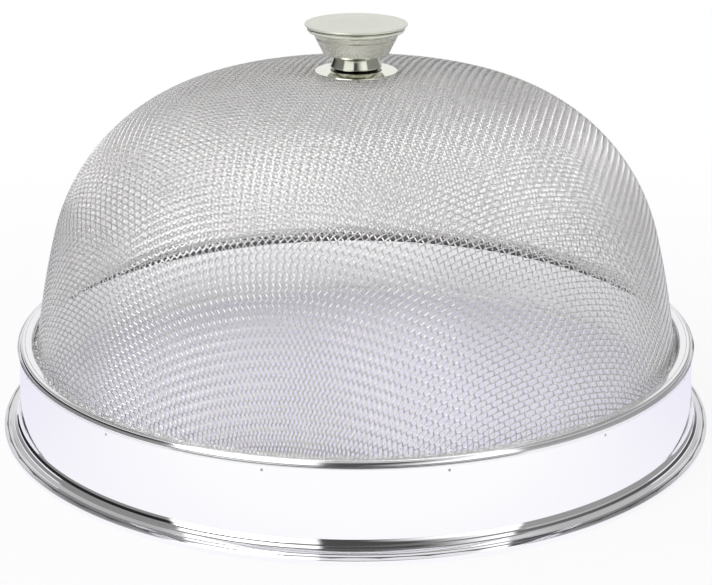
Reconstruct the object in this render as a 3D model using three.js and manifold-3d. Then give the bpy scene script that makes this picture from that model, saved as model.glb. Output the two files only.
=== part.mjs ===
// Stainless steel mesh food dome: a woven wire dome held in a sheet steel rim, lifted by a turned knob.
// The rim is one sheet: a pressed lip at its top, a leaning wall, a flared foot and a bead rolled round a wire.
// The mesh ends in a flanged hem under the lip, where an L-shaped ring, spot welded to the wall, clamps it.
// Lengths are millimetres, angles are degrees, +Z is up, and the origin is the centre of the circle it stands on.
import * as THREE from "three";
import { mergeVertices } from "three/addons/utils/BufferGeometryUtils.js";
import Module from "manifold-3d";

const wasm = await Module();
wasm.setup();

// Rim: one steel sheet
const footRadius = 150;
const sheet = 0.6;
const bandHeight = 37.6;
const flareWidth = 6.6; // from the foot of the wall out to the bead's edge
const flareSlope = 35; // below level
const flareFillet = 4.5;
const beadRadius = 2;
const beadFlatAngle = 18; // half the angle of the flat that the bead stands on
const beadCurlEnd = -215; // where the rolled sheet ends, past its own flare
const wallLean = 1.7; // inwards over the wall's height
const lipWidth = 6.2;
const lipHeight = 2.9;
const lipOverhang = 0.6;
const lipEndRadius = 1.3;
const lipFootAngle = -40; // where the rounding of its outer end begins
const lipShoulderAngle = 70; // where the rounding of its ends runs into the crown
const undercut = 0.9; // height of the groove that sets the lip off from the wall

// Wire inside the rolled bead
const footWireRadius = 1;

// Woven dome
const meshGap = 1.2; // between the lip's inner edge and the mesh
const domeBaseDrop = 1.1; // the dome's base circle lies this far below the lip's top
const domeRise = 109.7;
const wallLeanShare = 0.126; // how much of the base radius the side draws in by the top
const crownPower = 2.92; // roundness of the outline across
const shoulderPower = 3.34; // roundness of the outline upwards
const meshPitch = 24;
const wire = 1.2; // side of a woven wire
const weaveAngle = 35; // of the first set of wires from +X
const hemHeight = 2.9;
const hemThickness = 1.2;
const hemFlangeThickness = 0.65;
const hemFlangeReach = 0.5; // left between the hem's edge and the wall
const hemGrip = 0.9; // length of the wires' ends inside the hem

// Ring that clamps the hem under the lip
const ringSheet = 0.6;
const ringDepth = 4.3;
const ringLedge = 3.9;
const seam = 0.7; // between the ring and the wall, filled by the welds
const weldCount = 13;
const weldRadius = 1.1;
const weldDrop = 0.7; // below the ring's ledge
const weldClearance = 0.15;

// Knob
const flangeRadius = 16.9;
const flangeEdge = 0.9;
const flangeSheet = 1.1;
const flangeDish = 0.6;
const flangeLand = 10.6;
const neckHeight = 6.1;
const neckRadius = 9.1;
const neckRootRadius = 10.2;
const coneFootRadius = 13.2;
const coneTopRadius = 17.6;
const coneHeight = 9;
const grooveDepth = 0.45;
const grooveWidth = 0.7;
const grooveDrop = 2.3; // below the top of the cone
const collarRadius = 20.2;
const collarChamfer = 1.3;
const collarHeight = 1.9;
const cupWall = 1.6;
const cupFloorRise = 3; // above the foot of the cone
const capRadius = 21;
const capThickness = 0.9;
const capChamfer = 0.25;
const capSpigotDepth = 1.4;

// Screw that holds the knob from below, with its washers
const screwRadius = 1.5;
const screwHole = 1.8;
const screwHeadRadius = 5;
const screwHeadHeight = 2.8;
const screwReach = 7; // into the knob
const washerRadius = 16.4;
const washerThickness = 1.2;
const springWasherRadius = 4.9;
const springWasherThickness = 1.2;
const springWasherCut = 14; // degrees left open

// Clearances
const seat = 0.1; // between flat faces that rest on each other
const fit = 0.3; // between pieces that curve or are laid on the weave
const overrun = 5; // of a cutting body past what it cuts

// Facets
const segmentsPerWeld = 4;
const knobSegments = 32;
const smallSegments = 20;
const wireSides = 6;
const weldSides = 10;
const outlineSteps = 400;
const filletSteps = 3;
const newtonRounds = 40;
const probe = 1e-4; // small change in arc length or bearing, to find how the dome's surface runs

const radians = THREE.MathUtils.degToRad;
const ringSegments = segmentsPerWeld * weldCount;

// Rim sizes that follow from those above
const wallFootRadius = footRadius - flareWidth;
const wallTopRadius = wallFootRadius - wallLean;
const lipOuterRadius = wallTopRadius + lipOverhang;
const lipInnerRadius = lipOuterRadius - lipWidth;
const lipUnderside = bandHeight - lipHeight;
const wallTop = lipUnderside - undercut;
const beadRise = beadRadius * Math.cos(radians(beadFlatAngle));
const beadCentreRadius = footRadius - beadRadius;
const beadInnerRadius = beadRadius - sheet;
const flareTangent = 90 - flareSlope; // where the flare runs into the bead
const flareTopZ = beadRise + beadRadius * Math.sin(radians(flareTangent));
const flareTopRadius = beadCentreRadius + beadRadius * Math.cos(radians(flareTangent));
const flareFall = Math.tan(radians(flareSlope));
const wallFoot = flareTopZ + (flareTopRadius - wallFootRadius) * flareFall;

// Dome sizes that follow
const domeBaseZ = bandHeight - domeBaseDrop;
const domeBaseRadius = lipInnerRadius - meshGap - wire;
const domeTopZ = domeBaseZ + domeRise;

// Heights under the lip
const hemFlangeTopZ = lipUnderside - seat;
const hemFlangeFootZ = hemFlangeTopZ - hemFlangeThickness;
const ledgeTopZ = hemFlangeFootZ - seat;

// Heights of the stack at the knob
const flangeSeatZ = domeTopZ + wire + fit;
const neckZ = flangeSeatZ + flangeDish + flangeSheet + seat;
const coneZ = neckZ + neckHeight;
const collarZ = coneZ + coneHeight;
const capZ = collarZ + collarHeight + seat;
const washerTopZ = domeTopZ - wire - fit;
const springWasherTopZ = washerTopZ - washerThickness - seat;
const screwHeadTopZ = springWasherTopZ - springWasherThickness - seat;

/** Radius of the wall's outer face at a height. */
function wallRadiusAt(z) {
  const share = (z - wallFoot) / (wallTop - wallFoot);
  return wallFootRadius - wallLean * share;
}

/** Points of an arc in a profile, from one angle to another. */
function arc(centreX, centreZ, radius, fromAngle, toAngle, steps) {
  return Array.from({ length: steps + 1 }, (_, step) => {
    const angle = radians(fromAngle + ((toAngle - fromAngle) * step) / steps);
    return [centreX + radius * Math.cos(angle), centreZ + radius * Math.sin(angle)];
  });
}

/** A profile of [radius, height] points turned round the Z axis; the middles of its facets lie at those radii. */
function revolve(profile, segments, isClosedRing) {
  const halfFacet = Math.PI / segments;
  const points = profile.map(([x, z]) => new THREE.Vector2(x / Math.cos(halfFacet), z));
  const runsBackwards = THREE.ShapeUtils.area(points) < 0;
  if (runsBackwards) points.reverse();
  if (isClosedRing) points.push(points[0].clone());
  return new THREE.LatheGeometry(points, segments, halfFacet).rotateX(Math.PI / 2);
}

/** A closed geometry as a solid that can be joined and cut. */
function toSolid(geometry) {
  const bare = geometry.clone();
  bare.deleteAttribute("normal");
  bare.deleteAttribute("uv");
  const merged = mergeVertices(bare);
  return new wasm.Manifold(
    new wasm.Mesh({
      numProp: 3,
      vertProperties: merged.attributes.position.array,
      triVerts: new Uint32Array(merged.index.array),
    }),
  );
}

/** A solid turned back into a geometry. */
function toGeometry(solid) {
  const { vertProperties, triVerts } = solid.getMesh();
  const geometry = new THREE.BufferGeometry();
  geometry.setAttribute("position", new THREE.BufferAttribute(vertProperties, 3));
  geometry.setIndex(new THREE.BufferAttribute(triVerts, 1));
  geometry.computeVertexNormals();
  return geometry;
}

/** Outline of the pressed lip, from its outer foot over the crown to its flat underside. */
function lipOutline() {
  const middle = lipOuterRadius - lipWidth / 2;
  const endOffset = lipWidth / 2 - lipEndRadius;
  const endZ = lipUnderside + lipEndRadius;
  return [
    ...arc(middle + endOffset, endZ, lipEndRadius, lipFootAngle, lipShoulderAngle, 2),
    [middle, bandHeight],
    ...arc(middle - endOffset, endZ, lipEndRadius, 180 - lipShoulderAngle, 270, 3),
  ];
}

/** Angles of the bead's corners, from the flare round the flat foot to the end of the curl. */
function beadAngles() {
  const flatStart = beadFlatAngle - 90;
  const flatEnd = -90 - beadFlatAngle;
  const outerSteps = 3;
  const innerSteps = 2;
  const outer = Array.from(
    { length: outerSteps + 1 },
    (_, step) => flareTangent + ((flatStart - flareTangent) * step) / outerSteps,
  );
  const inner = Array.from(
    { length: innerSteps + 1 },
    (_, step) => flatEnd + ((beadCurlEnd - flatEnd) * step) / innerSteps,
  );
  return [...outer, ...inner];
}

/** Points round the bead's centre at one radius. */
function beadArc(radius) {
  return beadAngles().map((angle) => [
    beadCentreRadius + radius * Math.cos(radians(angle)),
    beadRise + radius * Math.sin(radians(angle)),
  ]);
}

/** Rounded corner where the wall turns into the flare, on one face of the sheet. */
function flareCorner(filletRadius, inset) {
  const wallAngle = Math.atan2(wallLean, wallTop - wallFoot);
  const slope = radians(flareSlope);
  const wallDirection = new THREE.Vector2(Math.sin(wallAngle), -Math.cos(wallAngle));
  const flareDirection = new THREE.Vector2(Math.cos(slope), -Math.sin(slope));
  const half = wallDirection.angleTo(flareDirection) / 2;
  const intoSheet = new THREE.Vector2()
    .subVectors(wallDirection, flareDirection)
    .setLength(inset / Math.cos(half));
  const corner = new THREE.Vector2(wallFootRadius, wallFoot).add(intoSheet);
  const centre = new THREE.Vector2()
    .subVectors(flareDirection, wallDirection)
    .setLength(filletRadius / Math.cos(half))
    .add(corner);
  const startAngle = THREE.MathUtils.radToDeg(Math.PI + wallAngle);
  const endAngle = 270 - flareSlope;
  return arc(centre.x, centre.y, filletRadius, startAngle, endAngle, filletSteps);
}

/** Sheet rim: lip, leaning wall, flared foot and the bead rolled round its wire. */
function rimBand() {
  const outerFace = [...flareCorner(flareFillet, 0), ...beadArc(beadRadius)];
  const innerFace = [...flareCorner(flareFillet + sheet, sheet), ...beadArc(beadInnerRadius)];
  const profile = [
    ...lipOutline(),
    [wallTopRadius - sheet, lipUnderside],
    ...innerFace,
    ...outerFace.reverse(),
    [wallTopRadius, wallTop],
  ];
  return revolve(profile, ringSegments, true);
}

/** Round wire that stiffens the foot. */
function footWire() {
  const section = arc(beadCentreRadius, beadRise, footWireRadius, 0, 360, wireSides).slice(1);
  return revolve(section, ringSegments, true);
}

/** L-shaped ring: its ledge carries the hem and its leg is welded to the wall. */
function retainingRing() {
  const legFoot = ledgeTopZ - ringDepth;
  const legTopRadius = wallRadiusAt(ledgeTopZ) - sheet - seam;
  const legFootRadius = wallRadiusAt(legFoot) - sheet - seam;
  const ledgeUnderside = ledgeTopZ - ringSheet;
  const profile = [
    [legTopRadius, ledgeTopZ],
    [legTopRadius - ringLedge, ledgeTopZ],
    [legTopRadius - ringLedge, ledgeUnderside],
    [legTopRadius - ringSheet, ledgeUnderside],
    [legFootRadius - ringSheet, legFoot],
    [legFootRadius, legFoot],
  ];
  return revolve(profile, ringSegments, true);
}

/** One weld between the ring's leg and the wall, in the middle of a facet of both. */
function placeWeld(mesh, index) {
  const height = ledgeTopZ - weldDrop - weldRadius;
  const radius = wallRadiusAt(height) - sheet - seam / 2;
  const turn = ((index + 1 / 2) * 2 * Math.PI) / weldCount - Math.PI / 2;
  mesh.position.set(radius * Math.cos(turn), radius * Math.sin(turn), height);
  mesh.rotation.set(0, -Math.atan2(wallLean, wallTop - wallFoot), turn, "ZYX");
}

/** The dome's outline as arc length, radius and height, from the top down to the base circle. */
function domeOutline() {
  const rows = [];
  for (let step = 0; step <= outlineSteps; step += 1) {
    const angle = (Math.PI / 2) * (1 - step / outlineSteps);
    const heightShare = Math.sin(angle) ** (2 / shoulderPower);
    const roundShare = step === 0 ? 0 : Math.cos(angle) ** (2 / crownPower);
    const radius = domeBaseRadius * (1 - wallLeanShare * heightShare) * roundShare;
    const height = domeBaseZ + domeRise * heightShare;
    const last = rows[rows.length - 1];
    const length = last ? last.length + Math.hypot(radius - last.radius, height - last.height) : 0;
    rows.push({ length, radius, height });
  }
  return rows;
}

const outline = domeOutline();
const baseLength = outline[outlineSteps].length;

/** Point of the dome at an arc length from the top and a bearing; past the base the side runs straight on. */
function domePoint(length, bearing) {
  let row = 1;
  while (row < outlineSteps && outline[row].length < length) row += 1;
  const before = outline[row - 1];
  const after = outline[row];
  const share = (length - before.length) / (after.length - before.length);
  const radius = before.radius + (after.radius - before.radius) * share;
  const height = before.height + (after.height - before.height) * share;
  return new THREE.Vector3(radius * Math.cos(bearing), radius * Math.sin(bearing), height);
}

/** Knot of the net at one step from two others, found on the dome by Newton's method. */
function nextKnot(left, below, corner, step) {
  const knot = {
    length: left.length + below.length - corner.length,
    bearing: corner.length === 0 ? Math.PI / 4 : (left.bearing + below.bearing) / 2,
  };
  for (let round = 0; round < newtonRounds; round += 1) {
    const at = domePoint(knot.length, knot.bearing);
    const outwards = domePoint(knot.length + probe, knot.bearing).sub(at).divideScalar(probe);
    const sideways = domePoint(knot.length, knot.bearing + probe).sub(at).divideScalar(probe);
    const fromLeft = at.clone().sub(left.point);
    const fromBelow = at.clone().sub(below.point);
    const missLeft = fromLeft.lengthSq() - step * step;
    const missBelow = fromBelow.lengthSq() - step * step;
    const a = 2 * fromLeft.dot(outwards);
    const b = 2 * fromLeft.dot(sideways);
    const c = 2 * fromBelow.dot(outwards);
    const d = 2 * fromBelow.dot(sideways);
    const determinant = a * d - b * c;
    knot.length -= (missLeft * d - missBelow * b) / determinant;
    knot.bearing -= (missBelow * a - missLeft * c) / determinant;
  }
  knot.point = domePoint(knot.length, knot.bearing);
  return knot;
}

/** Knots of a net of equal steps laid on one quarter of the dome, with its two straight wires along the edges. */
function quarterNet(step) {
  const reach = baseLength + 3 * step;
  const count = Math.ceil(reach / step);
  const knots = [];
  for (let i = 0; i <= count; i += 1) {
    knots.push([]);
    for (let j = 0; j <= count; j += 1) {
      const left = i > 0 ? knots[i - 1][j] : null;
      const below = j > 0 ? knots[i][j - 1] : null;
      if (i === 0 || j === 0) {
        const length = (i + j) * step;
        const bearing = i === 0 ? Math.PI / 2 : 0;
        knots[i].push({ length, bearing, point: domePoint(length, bearing) });
      } else if (left && below && Math.min(left.length, below.length) < reach) {
        knots[i].push(nextKnot(left, below, knots[i - 1][j - 1], step));
      } else {
        knots[i].push(null);
      }
    }
  }
  return knots;
}

/** The knot at a place of the whole net, mirrored from its quarter. */
function knotAt(quarter, i, j) {
  const row = quarter[Math.abs(i)];
  const knot = row ? row[Math.abs(j)] : null;
  if (!knot) return null;
  return knot.point.clone().multiply(new THREE.Vector3(Math.sign(i) || 1, Math.sign(j) || 1, 1));
}

/** Corners where two wires cross: the face they share, the top of the upper and the bottom of the lower. */
function crossingCorners(quarter, i, j) {
  const centre = knotAt(quarter, i, j);
  const neighbours = [
    [i - 1, j],
    [i + 1, j],
    [i, j - 1],
    [i, j + 1],
  ].map(([column, row]) => knotAt(quarter, column, row));
  if (!centre || neighbours.some((knot) => !knot)) return null;
  const along = neighbours[1].sub(neighbours[0]).normalize();
  const across = neighbours[3].sub(neighbours[2]).normalize();
  const normal = along.clone().cross(across);
  const half = wire / 2 / normal.length();
  normal.normalize();
  const layer = (lift) =>
    [-1, 1].map((a) =>
      [-1, 1].map((b) =>
        centre
          .clone()
          .addScaledVector(along, a * half)
          .addScaledVector(across, b * half)
          .addScaledVector(normal, lift),
      ),
    );
  return { middle: layer(0), top: layer(wire), bottom: layer(-wire) };
}

/** End faces of a wire's stretch over or under a crossing, each as lower left, lower right, upper right, upper left. */
function stretchEnds(corners, isFirstSet, isOver) {
  const lower = isOver ? corners.middle : corners.bottom;
  const upper = isOver ? corners.top : corners.middle;
  return [0, 1].map((end) =>
    isFirstSet
      ? [lower[end][0], lower[end][1], upper[end][1], upper[end][0]]
      : [lower[1][end], lower[0][end], upper[0][end], upper[1][end]],
  );
}

/** Adds a four-cornered face as two triangles. */
function addFace(triangles, a, b, c, d) {
  triangles.push(a, b, c, a, c, d);
}

/** Adds the sides of a wire between two of its end faces, without the side it shares with the other wire. */
function addStretch(triangles, start, end, openSide) {
  if (openSide !== "lower") addFace(triangles, start[0], start[1], end[1], end[0]);
  if (openSide !== "upper") addFace(triangles, start[3], end[3], end[2], start[2]);
  addFace(triangles, start[0], end[0], end[3], start[3]);
  addFace(triangles, start[1], start[2], end[2], end[1]);
}

/** Woven net: every wire goes over one crossing and under the next, and shares a face with the wire it crosses. */
function wovenNet() {
  const quarter = quarterNet(meshPitch / 2);
  const triangles = [];
  const last = quarter.length - 1;
  const start = last % 2 === 0 ? last - 1 : last;
  const crossings = new Map();
  for (let i = -start; i <= start; i += 2) {
    for (let j = -start; j <= start; j += 2) {
      const corners = crossingCorners(quarter, i, j);
      if (corners) crossings.set(`${i},${j}`, corners);
    }
  }
  const isFirstOver = (i, j) => ((i + j) / 2) % 2 === 0;
  for (const [key, corners] of crossings) {
    const [i, j] = key.split(",").map(Number);
    for (const isFirstSet of [true, false]) {
      const isOver = isFirstOver(i, j) === isFirstSet;
      const [near, far] = stretchEnds(corners, isFirstSet, isOver);
      addStretch(triangles, near, far, isOver ? "lower" : "upper");
      const stepI = isFirstSet ? 2 : 0;
      const stepJ = isFirstSet ? 0 : 2;
      const next = crossings.get(`${i + stepI},${j + stepJ}`);
      const hasPrevious = crossings.has(`${i - stepI},${j - stepJ}`);
      if (next) addStretch(triangles, far, stretchEnds(next, isFirstSet, !isOver)[0], "none");
      else addFace(triangles, far[0], far[1], far[2], far[3]);
      if (!hasPrevious) addFace(triangles, near[0], near[3], near[2], near[1]);
    }
  }
  const positions = new Float32Array(triangles.flatMap((point) => point.toArray()));
  const geometry = new THREE.BufferGeometry();
  geometry.setAttribute("position", new THREE.BufferAttribute(positions, 3));
  return geometry.rotateZ(radians(weaveAngle));
}

/** Pressed edge of the mesh: a short wall that takes the wires' ends, and a flange that lies under the lip. */
function hem() {
  const inner = domeBaseRadius - hemThickness / 2;
  const outer = domeBaseRadius + hemThickness / 2;
  const flangeEdgeRadius = wallRadiusAt(wallTop) - sheet - hemFlangeReach;
  const profile = [
    [inner, hemFlangeFootZ],
    [flangeEdgeRadius, hemFlangeFootZ],
    [flangeEdgeRadius, hemFlangeTopZ],
    [outer, hemFlangeTopZ],
    [outer, hemFlangeFootZ + hemHeight],
    [inner, hemFlangeFootZ + hemHeight],
  ];
  return revolve(profile, ringSegments, true);
}

/** Woven dome, cut off level inside its hem and joined to it. */
function meshDome() {
  const cutZ = hemFlangeFootZ + hemHeight - hemGrip;
  const keepHeight = domeTopZ + wire + overrun - cutZ;
  const keep = new THREE.CylinderGeometry(footRadius, footRadius, keepHeight, smallSegments)
    .rotateX(Math.PI / 2)
    .translate(0, 0, cutZ + keepHeight / 2);
  const net = toSolid(wovenNet()).intersect(toSolid(keep));
  return toGeometry(net.add(toSolid(hem())));
}

/** Dished flange that the knob stands on, laid on the mesh. */
function knobBase() {
  const sheetZ = flangeSeatZ + flangeDish;
  const edgeTopZ = flangeSeatZ + flangeEdge;
  const rimWidth = flangeRadius - flangeLand;
  const profile = [
    [screwHole, sheetZ],
    [flangeRadius - rimWidth / 2, sheetZ],
    [flangeRadius - flangeEdge, flangeSeatZ],
    [flangeRadius, flangeSeatZ],
    [flangeRadius, edgeTopZ],
    [flangeRadius - rimWidth / 2, sheetZ + (flangeSheet + flangeEdge - flangeDish) / 2],
    [flangeLand, sheetZ + flangeSheet],
    [screwHole, sheetZ + flangeSheet],
  ];
  return revolve(profile, knobSegments, true);
}

/** Points of the knob's neck, waisted between its root and the cone. */
function neckOutline() {
  const waistShares = [0.15, 0.4, 0.75, 1];
  const flareShares = [0.45, 0.1, 0, 0.25];
  return waistShares.map((rise, index) => [
    neckRadius + (neckRootRadius - neckRadius) * flareShares[index],
    neckZ + neckHeight * rise,
  ]);
}

/** Points of the cone, with the turned groove near its top. */
function coneOutline() {
  const coneRadiusAt = (z) => coneFootRadius + ((coneTopRadius - coneFootRadius) * (z - coneZ)) / coneHeight;
  const grooveZ = collarZ - grooveDrop;
  return [
    [coneFootRadius, coneZ],
    [coneRadiusAt(grooveZ - grooveWidth / 2), grooveZ - grooveWidth / 2],
    [coneRadiusAt(grooveZ) - grooveDepth, grooveZ],
    [coneRadiusAt(grooveZ + grooveWidth / 2), grooveZ + grooveWidth / 2],
    [coneTopRadius, collarZ],
  ];
}

/** Knob: a waisted neck with a blind threaded hole, a cone hollowed as a cup, and a collar under the cap. */
function knobBody() {
  const collarTop = collarZ + collarHeight;
  const cupFloorZ = coneZ + cupFloorRise;
  const profile = [
    [0, neckZ + screwReach + fit],
    [screwHole, neckZ + screwReach + fit],
    [screwHole, neckZ],
    [neckRootRadius, neckZ],
    ...neckOutline(),
    ...coneOutline(),
    [collarRadius, collarZ + collarChamfer],
    [collarRadius, collarTop],
    [coneTopRadius - cupWall, collarTop],
    [coneTopRadius - cupWall, collarZ],
    [coneFootRadius - cupWall, cupFloorZ],
    [0, cupFloorZ],
  ];
  return revolve(profile, knobSegments, false);
}

/** Flat cap that closes the knob, with a spigot inside the cup. */
function knobCap() {
  const spigotRadius = coneTopRadius - cupWall - fit;
  const top = capZ + capThickness;
  const profile = [
    [0, capZ - capSpigotDepth],
    [spigotRadius, capZ - capSpigotDepth],
    [spigotRadius, capZ],
    [capRadius - capChamfer, capZ],
    [capRadius, capZ + capChamfer],
    [capRadius, top - capChamfer],
    [capRadius - capChamfer, top],
    [0, top],
  ];
  return revolve(profile, knobSegments, false);
}

/** Pan-head screw, standing head down under the dome. */
function knobScrew() {
  const headFoot = screwHeadTopZ - screwHeadHeight;
  const tip = neckZ + screwReach;
  const tipChamfer = screwRadius / 4;
  const profile = [
    [0, headFoot],
    [screwHeadRadius * Math.SQRT1_2, headFoot + screwHeadHeight / 8],
    [screwHeadRadius, headFoot + screwHeadHeight / 2],
    [screwHeadRadius, screwHeadTopZ],
    [screwRadius, screwHeadTopZ],
    [screwRadius, tip - tipChamfer],
    [screwRadius - tipChamfer, tip],
    [0, tip],
  ];
  return revolve(profile, smallSegments, false);
}

/** Wide washer that spreads the screw's pull under the mesh. */
function innerWasher() {
  const profile = [
    [screwHole, washerTopZ - washerThickness],
    [washerRadius, washerTopZ - washerThickness],
    [washerRadius, washerTopZ],
    [screwHole, washerTopZ],
  ];
  return revolve(profile, knobSegments, true);
}

/** Split spring washer under the wide one. */
function springWasher() {
  const start = radians(springWasherCut / 2);
  const end = 2 * Math.PI - start;
  const ring = new THREE.Shape();
  ring.absarc(0, 0, springWasherRadius, start, end, false);
  ring.absarc(0, 0, screwHole, end, start, true);
  ring.closePath();
  return new THREE.ExtrudeGeometry(ring, {
    depth: springWasherThickness,
    bevelEnabled: false,
    curveSegments: smallSegments,
  }).translate(0, 0, springWasherTopZ - springWasherThickness);
}

/** Weld button, flat between the ring's leg and the wall. */
function spotWeld() {
  const thickness = seam - 2 * weldClearance;
  return new THREE.CylinderGeometry(weldRadius, weldRadius, thickness, weldSides).rotateZ(Math.PI / 2);
}

/** A named piece with its own steel. */
function piece(name, geometry, color, roughness) {
  const steel = new THREE.MeshStandardMaterial({ color, roughness, metalness: 1 });
  const mesh = new THREE.Mesh(geometry, steel);
  mesh.name = name;
  return mesh;
}

const rim = new THREE.Group();
rim.add(
  piece("rim_band", rimBand(), 0xdcdde2, 0.12),
  piece("foot_wire", footWire(), 0xa9abad, 0.45),
  piece("retaining_ring", retainingRing(), 0xb4b6ba, 0.3),
);
for (let index = 0; index < weldCount; index += 1) {
  const weld = piece(`spot_weld_${String(index + 1).padStart(2, "0")}`, spotWeld(), 0x8f9092, 0.5);
  placeWeld(weld, index);
  rim.add(weld);
}

const knob = new THREE.Group();
knob.add(
  piece("knob_base", knobBase(), 0xc9cac2, 0.15),
  piece("knob_body", knobBody(), 0xc3c5bb, 0.18),
  piece("knob_cap", knobCap(), 0xdcdfd2, 0.25),
  piece("knob_screw", knobScrew(), 0xb2b3b0, 0.35),
  piece("spring_washer", springWasher(), 0x9c9d9b, 0.4),
  piece("inner_washer", innerWasher(), 0xbcbdba, 0.3),
);

const foodDome = new THREE.Group();
foodDome.add(rim, piece("mesh_dome", meshDome(), 0xcfcfcc, 0.3), knob);

export default foodDome;
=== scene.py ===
"""Looks of the mesh food dome: a woven wire dome in a polished sheet rim, lifted by a turned knob.

Every piece is worked out in millimetres from its own sizes and then put into a mesh in metres. +Z is up, -Y is the
front, and the origin is the middle of the circle that the foot stands on.
"""

import logging
import math
from dataclasses import dataclass
from enum import Enum

import bpy
import numpy as np
from mathutils import Matrix, Vector


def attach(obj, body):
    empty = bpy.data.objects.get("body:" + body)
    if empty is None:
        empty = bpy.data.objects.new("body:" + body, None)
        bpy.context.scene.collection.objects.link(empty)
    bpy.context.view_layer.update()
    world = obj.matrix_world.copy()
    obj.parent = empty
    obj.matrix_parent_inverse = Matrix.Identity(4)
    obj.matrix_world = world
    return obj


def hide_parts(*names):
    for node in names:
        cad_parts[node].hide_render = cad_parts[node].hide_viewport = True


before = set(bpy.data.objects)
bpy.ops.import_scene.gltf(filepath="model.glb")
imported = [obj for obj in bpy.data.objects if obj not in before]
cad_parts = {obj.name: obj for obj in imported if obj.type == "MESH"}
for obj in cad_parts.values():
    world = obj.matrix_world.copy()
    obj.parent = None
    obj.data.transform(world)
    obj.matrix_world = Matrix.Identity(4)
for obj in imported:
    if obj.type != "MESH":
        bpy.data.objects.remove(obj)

log = logging.getLogger("food_dome")

MM = 0.001
FULL_TURN = 2 * math.pi
TINY = 1e-9
BODY = "root"
WELD_COUNT = 13
FLATTEST_HALF_ANGLE = math.pi / 2 - 1e-3
SUPPORT_SHARE = 0.08
SUPPORT_MOST = 0.25

Node = bpy.types.Node
Object = bpy.types.Object
Socket = bpy.types.NodeSocket
Tree = bpy.types.NodeTree
Faces = list[np.ndarray]
Pair = tuple[float, float]
Triple = tuple[float, float, float]
Profile = tuple[Triple, ...]


class WireSet(Enum):
    """The two sets of wires of a plain weave."""

    FIRST = "first"
    SECOND = "second"


# Meshes


def add_piece(name: str, points: np.ndarray, faces: Faces) -> Object:
    """Puts points and faces into a smooth-shaded mesh object at the origin.

    Args:
        name: The piece's name.
        points: One row of x, y and z in millimetres for each point.
        faces: Arrays of point numbers, one array for each number of corners.

    Returns:
        The new object, linked to the scene.
    """
    mesh = bpy.data.meshes.new(name)
    corners = np.concatenate([group.ravel() for group in faces]).astype(np.int32)
    sizes = np.concatenate([np.full(len(group), group.shape[1]) for group in faces])
    starts = np.concatenate([[0], np.cumsum(sizes)[:-1]]).astype(np.int32)
    mesh.vertices.add(len(points))
    mesh.vertices.foreach_set("co", (points * MM).astype(np.float32).ravel())
    mesh.loops.add(len(corners))
    mesh.loops.foreach_set("vertex_index", corners)
    mesh.polygons.add(len(sizes))
    mesh.polygons.foreach_set("loop_start", starts)
    mesh.update(calc_edges=True)
    mesh.validate()
    mesh.shade_smooth()
    piece = bpy.data.objects.new(name, mesh)
    bpy.context.scene.collection.objects.link(piece)
    return piece


def add_dressed(plan: list[tuple]) -> list[Object]:
    """Adds pieces in their steel, each in place of a node.

    Args:
        plan: Name, shape, steel, node and slot of each piece. A shape is its points and faces.

    Returns:
        The new pieces.
    """
    pieces = []
    for name, shape, steel, node, slot in plan:
        piece = add_piece(name, *shape)
        piece.data.materials.append(steel)
        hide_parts(node)
        pieces.append(piece)
    return pieces


def rounded(rows: Profile | np.ndarray, closed: bool = True, steps: int = 6) -> np.ndarray:
    """Rounds a polygon's corners with arcs.

    With unit vectors a and b from a corner to its neighbours and h half the angle between them, the arc starts at
    radius / tan(h) along a, ends as far along b, and its centre lies radius / sin(h) along a + b. One more point on
    each side keeps the straight stretch beyond it flat in the light.

    Args:
        rows: Radius, height and arc's radius for each corner, the last 0 where the corner is kept.
        closed: Whether the last corner is joined to the first.
        steps: Number of steps in an arc.

    Returns:
        The rounded profile, one row of radius and height for each point.
    """
    table = np.asarray(rows, float)
    corners, radii = table[:, :2], table[:, 2]
    before = np.roll(corners, 1, axis=0) - corners
    after = np.roll(corners, -1, axis=0) - corners
    reach = np.minimum(np.hypot(*before.T), np.hypot(*after.T))[:, None]
    a = before / np.maximum(np.hypot(*before.T)[:, None], TINY)
    b = after / np.maximum(np.hypot(*after.T)[:, None], TINY)
    half = np.arccos(np.clip((a * b).sum(1), -1, 1)) / 2
    kept = (radii <= 0) | (half > FLATTEST_HALF_ANGLE)
    if not closed:
        kept[[0, -1]] = True
    half = np.where(kept, math.pi / 4, half)[:, None]
    radius = np.where(kept, 0.0, radii)[:, None]
    middle = (a + b) / np.maximum(np.hypot(*(a + b).T)[:, None], TINY)
    tangent = radius / np.tan(half)
    centre = corners + middle * radius / np.sin(half)
    turn = (math.pi - 2 * half) * np.sign(a[:, :1] * b[:, 1:] - a[:, 1:] * b[:, :1])
    angle = turn * np.linspace(0, 1, steps + 1)
    start = corners + a * tangent - centre
    arc_x = centre[:, :1] + start[:, :1] * np.cos(angle) + start[:, 1:] * np.sin(angle)
    arc_y = centre[:, 1:] - start[:, :1] * np.sin(angle) + start[:, 1:] * np.cos(angle)
    support = tangent + np.clip(SUPPORT_SHARE * reach, 0, SUPPORT_MOST)
    first, last = corners + a * support, corners + b * support
    x = np.concatenate([first[:, :1], arc_x, last[:, :1]], axis=1)
    y = np.concatenate([first[:, 1:], arc_y, last[:, 1:]], axis=1)
    points = np.stack([x, y], axis=-1)
    points[kept] = corners[kept][:, None]
    wanted = np.ones(points.shape[:2], bool)
    wanted[kept, 1:] = False
    return points[wanted]


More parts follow.
